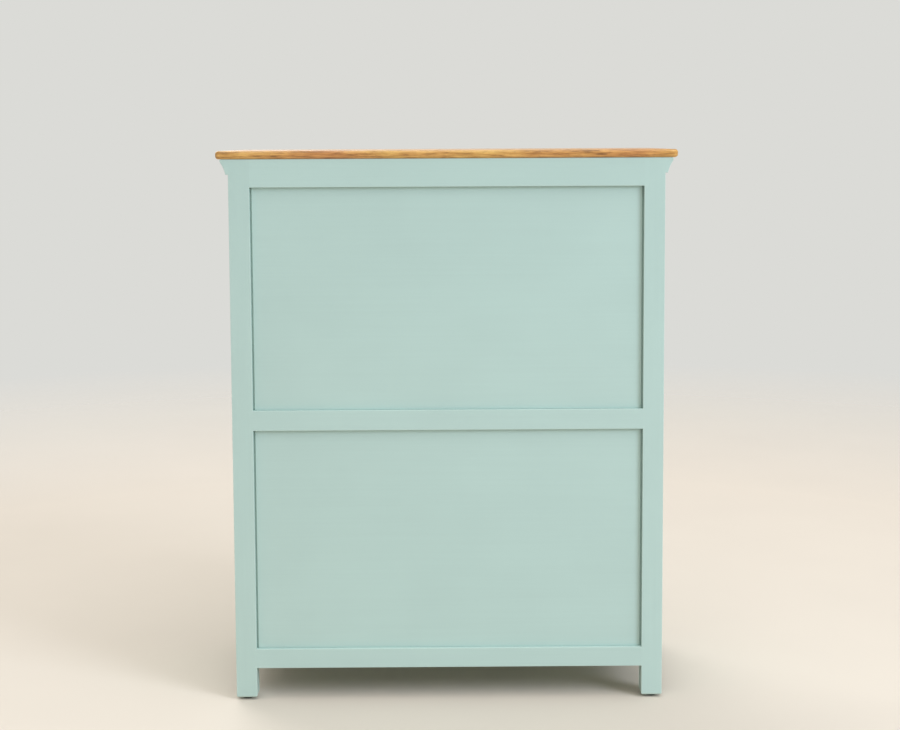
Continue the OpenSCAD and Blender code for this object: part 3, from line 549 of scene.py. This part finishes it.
def turned(work, profile, place, out, facets):
    """Turns a profile of (radius, height) pairs round an axis that leaves a place in the direction out."""
    side = Vector((0, 0, 1))
    across = out.cross(side)
    rings = []
    for radius, height in profile:
        centre = place + height * out
        rings.append(ring(work, [
            centre + radius * (math.cos(a) * across + math.sin(a) * side)
            for a in (2 * math.pi * i / facets for i in range(facets))]))
    skin(work, rings)


def slotted_head(work, place, out, radius, depth, slot):
    """Screw head whose round face lies at a place and looks in the direction out, with a slot across it."""
    # The slot reaches down 0.6 of the head, and each half of the face has so many steps
    sunk, steps = 0.6 * depth, 12
    turned(work, [(radius, -depth), (radius, -sunk)], place, out, 2 * steps)
    side = Vector((0, 0, 1))
    across = out.cross(side)
    start = math.asin(slot / 2 / radius)
    for turn in (0, math.pi):
        arc = [start + (math.pi - 2 * start) * i / steps + turn for i in range(steps + 1)]
        outline = [radius * (math.cos(a) * across + math.sin(a) * side) for a in arc]
        low = ring(work, [place + point - sunk * out for point in outline])
        skin(work, [low, ring(work, [place + point for point in outline])])


def loose_parts(work):
    """Vertices of each separate part of a mesh."""
    left, parts = set(work.verts), []
    while left:
        part, edge = set(), [left.pop()]
        while edge:
            vertex = edge.pop()
            part.add(vertex)
            for link in vertex.link_edges:
                other = link.other_vert(vertex)
                if other in left:
                    left.remove(other)
                    edge.append(other)
        parts.append(part)
    return parts


class CABINET_OT_stage(bpy.types.Operator):
    """Adds the floor, the soft studio light and the camera"""

    bl_idname = "cabinet.stage"
    bl_label = "Studio"

    def execute(self, context):
        props = context.scene.cabinet_stage
        self.floor(props)
        self.sky(context, props)
        self.soft_box(props)
        self.soft_light("top_light", (-0.1, 0.32, 0.94), props.top, degrees=50)
        self.soft_light("door_light", (0.38, -0.82, 0.58), props.front, degrees=44)
        self.camera(context)
        context.scene.view_settings.view_transform = "Standard"
        return {"FINISHED"}

    def floor(self, props):
        """Round floor that melts into the backdrop before its rim."""
        # Metres from the middle to where it starts to fade, and to its rim
        faded, radius = 2, 4.8
        work = bmesh.new()
        bmesh.ops.create_circle(work, cap_ends=True, segments=96, radius=radius)
        mesh = shaded("studio_floor", work)
        made, tree, shader, where = new_material("painted_studio_floor")
        # Matt studio paint: even and pale, with clouds of 400 mm that a roller leaves
        cloud = add(tree, "TexNoise", {
            "Vector": add(tree, "Mapping", {
                "Vector": where, "Scale": counts(400 * MM, 400 * MM, "x")}),
            "Scale": 1, "Detail": 2})
        away = add(tree, "VectorMath", {0: where}, operation="LENGTH").outputs["Value"]
        feed(tree, shader, {
            "Base Color": add(tree, "HueSaturation", {
                "Color": (*props.floor, 1),
                "Value": add(tree, "MapRange", {**NOISE, "Value": cloud, "To Min": 0.99, "To Max": 1.01})}),
            "Roughness": 0.7,
            "Specular IOR Level": 0.15,
            "Alpha": add(tree, "MapRange", {
                "Value": away, "From Min": faded, "From Max": radius, "To Min": 1, "To Max": 0})})
        mesh.materials.append(made)
        disc = bpy.data.objects.new("studio_floor", mesh)
        bpy.context.scene.collection.objects.link(disc)

    def sky(self, context, props):
        """Even light from all round, behind a pale backdrop that only the camera and reflections see."""
        world = bpy.data.worlds.new("Studio backdrop")
        world.use_nodes = True
        tree = world.node_tree
        seen = add(tree, "LightPath").outputs
        direct = add(tree, "Math", {
            0: seen["Is Camera Ray"], 1: seen["Is Glossy Ray"]}, operation="MAXIMUM")
        direct = add(tree, "Math", {0: direct, 1: seen["Is Transmission Ray"]}, operation="MAXIMUM")
        light = tree.nodes["Background"]
        feed(tree, light, {"Color": (1, 0.985, 0.94, 1), "Strength": props.sky})
        backdrop = add(tree, "Background", {"Color": (*props.backdrop, 1), "Strength": 1})
        feed(tree, tree.nodes["World Output"], {
            "Surface": add(tree, "MixShader", {0: direct, 1: light, 2: backdrop})})
        context.scene.world = world

    def soft_box(self, props):
        """Large soft box on the camera's right, so that the back is a little brighter on that side."""
        data = bpy.data.lights.new("key_light", "AREA")
        data.energy, data.size, data.color = props.key, 2.6, (0.775, 0.86, 1)
        # In metres. The box is aimed at the middle of the back
        place, target = Vector((-5, 4.2, 3.3)), Vector((0, 0.2, 0.5))
        made = bpy.data.objects.new("key_light", data)
        aim = (place - target).to_track_quat("Z", "Y").to_matrix().to_4x4()
        made.matrix_world = Matrix.Translation(place) @ aim
        # Its mirror image would burn out on the lacquered top
        made.visible_camera = made.visible_glossy = False
        bpy.context.scene.collection.objects.link(made)

    def soft_light(self, name, side, strength, degrees):
        """Distant light from one side, so many degrees wide, which falls evenly on the whole cabinet."""
        data = bpy.data.lights.new(name, "SUN")
        data.energy, data.angle = strength, math.radians(degrees)
        made = bpy.data.objects.new(name, data)
        made.matrix_world = Vector(side).to_track_quat("Z", "Y").to_matrix().to_4x4()
        bpy.context.scene.collection.objects.link(made)

    def camera(self, context):
        """Camera behind the cabinet, level with its top and tipped down, its frame dropped below its axis."""
        data = bpy.data.cameras.new("Camera")
        data.sensor_width, data.lens, data.shift_y, data.clip_end = 36, 65.7, -0.0761, 60
        # Place in metres, and yaw, pitch and roll in radians, from the lines of the photographed frame
        place = Vector((0.0165, 3.412, 1.115))
        yaw, pitch, roll = 0.0067, 0.0952, 0.0048
        right, ahead, up = Vector((-1, 0, 0)), Vector((0, -1, 0)), Vector((0, 0, 1))
        right, ahead = (math.cos(yaw) * right - math.sin(yaw) * ahead,
                        math.sin(yaw) * right + math.cos(yaw) * ahead)
        ahead, up = (math.cos(pitch) * ahead - math.sin(pitch) * up,
                     math.sin(pitch) * ahead + math.cos(pitch) * up)
        right, up = (math.cos(roll) * right - math.sin(roll) * up,
                     math.sin(roll) * right + math.cos(roll) * up)
        turn = Matrix([right, up, -ahead]).transposed().to_4x4()
        camera = bpy.data.objects.new("Camera", data)
        camera.matrix_world = Matrix.Translation(place) @ turn
        context.scene.collection.objects.link(camera)
        context.scene.camera = camera


class CABINET_OT_top(bpy.types.Operator):
    """Makes the wooden top with rounded edges and eased corners"""

    bl_idname = "cabinet.top"
    bl_label = "Top board"

    def execute(self, context):
        low, high = boxes["top_board"]
        corner = context.scene.cabinet_wood.corner
        # The board's edges are rounded to 3/8 of its thickness, as in the CAD
        radius = 0.375 * (high.z - low.z)
        steps = 8
        work = bmesh.new()
        rings = []
        for i in range(2 * steps + 2):
            upper = i > steps
            angle = math.pi / 2 * ((i - 1 if upper else i) / steps - 1)
            inset = radius * (1 - math.cos(angle))
            z = (high.z - radius if upper else low.z + radius) + radius * math.sin(angle)
            rings.append(ring(work, self.plan(low, high, inset, corner - inset, z)))
        skin(work, rings)
        mesh = shaded("top_board_rounded", work)
        piece(mesh.name, mesh, [top_wood()], "carcass", "honey_wood", "top_board")
        return {"FINISHED"}

    def plan(self, low, high, inset, radius, z):
        """Rectangle with round corners at one height, seen from above and drawn anticlockwise."""
        points, steps = [], 8
        for x, y, start in ((high.x, high.y, 0), (low.x, high.y, 1), (low.x, low.y, 2), (high.x, low.y, 3)):
            centre_x = x - math.copysign(inset + radius, x)
            centre_y = y - math.copysign(inset + radius, y)
            for i in range(steps + 1):
                angle = math.pi / 2 * (start + i / steps)
                points.append((centre_x + radius * math.cos(angle), centre_y + radius * math.sin(angle), z))
        return points


class CABINET_OT_frame(bpy.types.Operator):
    """Sands and paints the posts, the rails and the divider"""

    bl_idname = "cabinet.frame"
    bl_label = "Posts and rails"

    def execute(self, context):
        painted(["front_left_post", "front_right_post", "back_left_post", "back_right_post"], "carcass", "z")
        painted(["back_top_rail", "back_middle_rail", "back_bottom_rail", "front_top_rail",
                 "front_drawer_rail", "front_bottom_rail"], "carcass", "x")
        painted(["left_side_rails", "right_side_rails"], "carcass", "y")
        painted(["drawer_divider"], "carcass", "z")
        return {"FINISHED"}


class CABINET_OT_panels(bpy.types.Operator):
    """Sands and paints the back and side panels"""

    bl_idname = "cabinet.panels"
    bl_label = "Back and side panels"

    def execute(self, context):
        painted(["back_upper_panel", "back_lower_panel"], "carcass", "x")
        painted(["left_side_panels", "right_side_panels"], "carcass", "z")
        return {"FINISHED"}


class CABINET_OT_cornice(bpy.types.Operator):
    """Sands and paints the three mitred lengths of moulding"""

    bl_idname = "cabinet.cornice"
    bl_label = "Cornice"

    def execute(self, context):
        painted(["front_cornice"], "carcass", "x")
        painted(["left_cornice", "right_cornice"], "carcass", "y")
        return {"FINISHED"}


class CABINET_OT_shelves(bpy.types.Operator):
    """Sands and paints the floor board, the shelves, the deck and the partition"""

    bl_idname = "cabinet.shelves"
    bl_label = "Shelves and partition"

    def execute(self, context):
        painted(["floor_board", "middle_shelf", "lower_shelf", "drawer_deck"], "carcass", "x")
        painted(["lower_partition"], "carcass", "z")
        return {"FINISHED"}


class CABINET_OT_inner_blocks(bpy.types.Operator):
    """Makes the cleats, guides and glue blocks of bare wood"""

    bl_idname = "cabinet.inner_blocks"
    bl_label = "Cleats, guides and blocks"

    def execute(self, context):
        joined_boards(["shelf_cleats", "drawer_guides"], "carcass", "pale_wood", bare_wood, "y")
        joined_boards(["top_blocks"], "carcass", "pale_wood", bare_wood, "z")
        return {"FINISHED"}


class CABINET_OT_racks(bpy.types.Operator):
    """Makes the bottle rack and the hanging rails for glasses"""

    bl_idname = "cabinet.racks"
    bl_label = "Bottle and glass racks"

    def execute(self, context):
        joined_boards(["bottle_rack_uprights"], "carcass", "honey_wood", rack_wood, "z")
        joined_boards(["bottle_rack_shelves"], "carcass", "honey_wood", rack_wood, "x")
        joined_boards(["glass_rack"], "carcass", "honey_wood", rack_wood, "y")
        return {"FINISHED"}


class CABINET_OT_doors(bpy.types.Operator):
    """Sands and paints the frames and panels of both doors"""

    bl_idname = "cabinet.doors"
    bl_label = "Doors"

    def execute(self, context):
        for side in ("left", "right"):
            painted([side + "_door_stiles", side + "_door_panels"], side + "_door", "z")
            painted([side + "_door_rails"], side + "_door", "x")
        return {"FINISHED"}


class CABINET_OT_door_racks(bpy.types.Operator):
    """Makes the racks inside the doors and their brass rails"""

    bl_idname = "cabinet.door_racks"
    bl_label = "Door racks"

    def execute(self, context):
        for side in ("left", "right"):
            joined_boards([side + "_door_rack"], side + "_door", "honey_wood", rack_wood, "x")
            dress([side + "_door_rack_rods"], aged_brass("x"))
        return {"FINISHED"}


class CABINET_OT_drawers(bpy.types.Operator):
    """Makes the painted fronts and the bare boxes of both drawers"""

    bl_idname = "cabinet.drawers"
    bl_label = "Drawers"

    def execute(self, context):
        for side in ("left", "right"):
            body = side + "_drawer"
            painted([side + "_drawer_front"], body, "x")
            joined_boards([side + "_drawer_box"], body, "pale_wood", bare_wood, "y")
            dress([side + "_drawer_bottom"], bare_wood("x"))
        return {"FINISHED"}


class CABINET_OT_hinges(bpy.types.Operator):
    """Makes the butt hinges with eased leaves and slotted screws"""

    bl_idname = "cabinet.hinges"
    bl_label = "Hinges"

    def execute(self, context):
        for side, door_way in (("left", 1), ("right", -1)):
            # The screws of a leaf on a post are seen from the door, and the other way round
            self.hinge(side + "_post_hinges", "carcass", door_way)
            self.hinge(side + "_door_hinges", side + "_door", -door_way)
        return {"FINISHED"}

    def hinge(self, name, body, way):
        """Leaves and knuckles as in the CAD, and screws whose heads look along X in the direction way."""
        ease = 0.25 * MM
        # Only the screws are longer than this along X
        screw_length, head_depth = 12 * MM, 1.2 * MM
        work = bmesh.new()
        work.from_mesh(nodes[name].data)
        bmesh.ops.remove_doubles(work, verts=work.verts, dist=WELD)
        heads = []
        for part in loose_parts(work):
            spans = [sorted(vertex.co[i] for vertex in part) for i in range(3)]
            low, high = (Vector([span[end] for span in spans]) for end in (0, -1))
            if high.x - low.x > screw_length:
                place = (low + high) / 2
                place.x = high.x if way > 0 else low.x
                heads.append((place, (high.y - low.y) / 2))
                bmesh.ops.delete(work, geom=list(part), context="VERTS")
        bmesh.ops.dissolve_limit(work, angle_limit=FLAT, verts=work.verts, edges=work.edges)
        # The short edges round the knuckles are left alone
        sharp = [edge for edge in work.edges if edge.is_convex and edge.calc_face_angle(0) > ARRIS
                 and edge.calc_length() > 4 * ease]
        bmesh.ops.bevel(work, geom=sharp, offset=ease, offset_type="OFFSET", segments=1, profile=0.5,
                        affect="EDGES", clamp_overlap=True)
        slot = bpy.context.scene.cabinet_metal.slot
        for place, radius in heads:
            slotted_head(work, place, Vector((way, 0, 0)), radius, head_depth, slot)
        mesh = shaded(name + "_screwed", work)
        piece(mesh.name, mesh, [aged_brass()], body, "aged_brass", name)


class CABINET_OT_knobs(bpy.types.Operator):
    """Turns the knobs of the doors and drawers"""

    bl_idname = "cabinet.knobs"
    bl_label = "Knobs"

    def execute(self, context):
        for side in ("left", "right"):
            self.knob(side + "_door_knob", side + "_door", boxes[side + "_door_stiles"])
            self.knob(side + "_drawer_knob", side + "_drawer", boxes[side + "_drawer_front"])
        return {"FINISHED"}

    def knob(self, name, body, front):
        """Turned knob on a front, held from inside by a slotted screw."""
        low, high = boxes[name]
        props = bpy.context.scene.cabinet_metal
        radius, length = (high.x - low.x) / 2, front[0].y - low.y
        middle = (low + high) / 2
        out = Vector((0, -1, 0))
        place = Vector((middle.x, front[0].y, middle.z))
        # Radius and height as shares of the knob's, from the rose on the wood to the middle of the head
        profile = [
            (0.654, 0), (0.655, 0.09), (0.64, 0.12), (0.60, 0.125), (0.56, 0.16), (0.52, 0.185),
            (0.44, 0.215), (0.385, 0.27), (0.37, 0.34), (0.385, 0.42), (0.45, 0.50), (0.60, 0.56),
            (0.80, 0.60), (0.93, 0.64), (0.985, 0.69), (1, 0.745), (0.985, 0.80), (0.92, 0.86),
            (0.80, 0.915), (0.66, 0.948), (0.60, 0.94), (0.56, 0.962), (0.40, 0.985), (0.20, 0.998),
            (0.02, 1)]
        work = bmesh.new()
        turned(work, [(r * radius, h * length) for r, h in profile], place, out, props.facets)
        mesh = shaded(name + "_turned", work)
        made = piece(mesh.name, mesh, [aged_brass()], body, "aged_brass", name)
        smooth = made.modifiers.new("Turned smooth", "SUBSURF")
        smooth.levels = smooth.render_levels = 2
        # The screw runs from its head behind the front to half of the knob's length
        screw = bmesh.new()
        head_radius, shank_radius, shank_facets = 4 * MM, 2 * MM, 24
        seat = Vector((middle.x, high.y, middle.z))
        thickness = high.y - front[1].y
        slotted_head(screw, seat, -out, head_radius, thickness, props.slot)
        shank = [(shank_radius, 0), (shank_radius, high.y - front[0].y + length / 2)]
        turned(screw, shank, seat + thickness * out, out, shank_facets)
        mesh = shaded(name + "_screw", screw)
        piece(mesh.name, mesh, [aged_brass()], body, "aged_brass", name)


class CABINET_OT_fittings(bpy.types.Operator):
    """Makes the strikes and the magnet catches, and finishes the glides"""

    bl_idname = "cabinet.fittings"
    bl_label = "Catches and glides"

    def execute(self, context):
        ease = 0.4 * MM
        for side in ("left", "right"):
            sanded(side + "_door_strike", side + "_door", "strike_steel", [zinc_steel()], ease, "x")
        sanded("magnet_catches", "carcass", "dark_nylon", [nylon()], ease, "x")
        dress(["foot_glides"], nylon())
        return {"FINISHED"}


class CABINET_PT_sizes(bpy.types.Panel):
    """Sizes, colours and pieces of the bar cabinet"""

    bl_idname = "CABINET_PT_sizes"
    bl_label = "Bar Cabinet"
    bl_space_type = "VIEW_3D"
    bl_region_type = "UI"
    bl_category = "Bar Cabinet"

    def draw(self, context):
        for name in GROUPS:
            group = getattr(context.scene, name)
            box = self.layout.box()
            for field in group.bl_rna.properties:
                if not field.is_hidden and field.identifier not in ("rna_type", "name"):
                    box.prop(group, field.identifier)
        for made in OPERATORS:
            self.layout.operator(made.bl_idname)


GROUPS = {
    "cabinet_paint": CabinetPaint,
    "cabinet_wood": CabinetWood,
    "cabinet_metal": CabinetMetal,
    "cabinet_stage": CabinetStage,
}
OPERATORS = [
    CABINET_OT_stage, CABINET_OT_top, CABINET_OT_cornice, CABINET_OT_frame, CABINET_OT_panels,
    CABINET_OT_shelves, CABINET_OT_inner_blocks, CABINET_OT_racks, CABINET_OT_doors, CABINET_OT_door_racks,
    CABINET_OT_drawers, CABINET_OT_hinges, CABINET_OT_knobs, CABINET_OT_fittings,
]
CLASSES = [*GROUPS.values(), *OPERATORS, CABINET_PT_sizes]


def register():
    """Adds the classes to Blender and their values to the scene."""
    for made in CLASSES:
        bpy.utils.register_class(made)
    for name, group in GROUPS.items():
        setattr(bpy.types.Scene, name, PointerProperty(type=group))


def unregister():
    """Takes them out again."""
    for name in GROUPS:
        delattr(bpy.types.Scene, name)
    for made in reversed(CLASSES):
        bpy.utils.unregister_class(made)


def main():
    """Builds every piece."""
    register()
    bpy.ops.cabinet.stage()
    bpy.ops.cabinet.top()
    bpy.ops.cabinet.cornice()
    bpy.ops.cabinet.frame()
    bpy.ops.cabinet.panels()
    bpy.ops.cabinet.shelves()
    bpy.ops.cabinet.inner_blocks()
    bpy.ops.cabinet.racks()
    bpy.ops.cabinet.doors()
    bpy.ops.cabinet.door_racks()
    bpy.ops.cabinet.drawers()
    bpy.ops.cabinet.hinges()
    bpy.ops.cabinet.knobs()
    bpy.ops.cabinet.fittings()


if __name__ == "__main__":
    main()
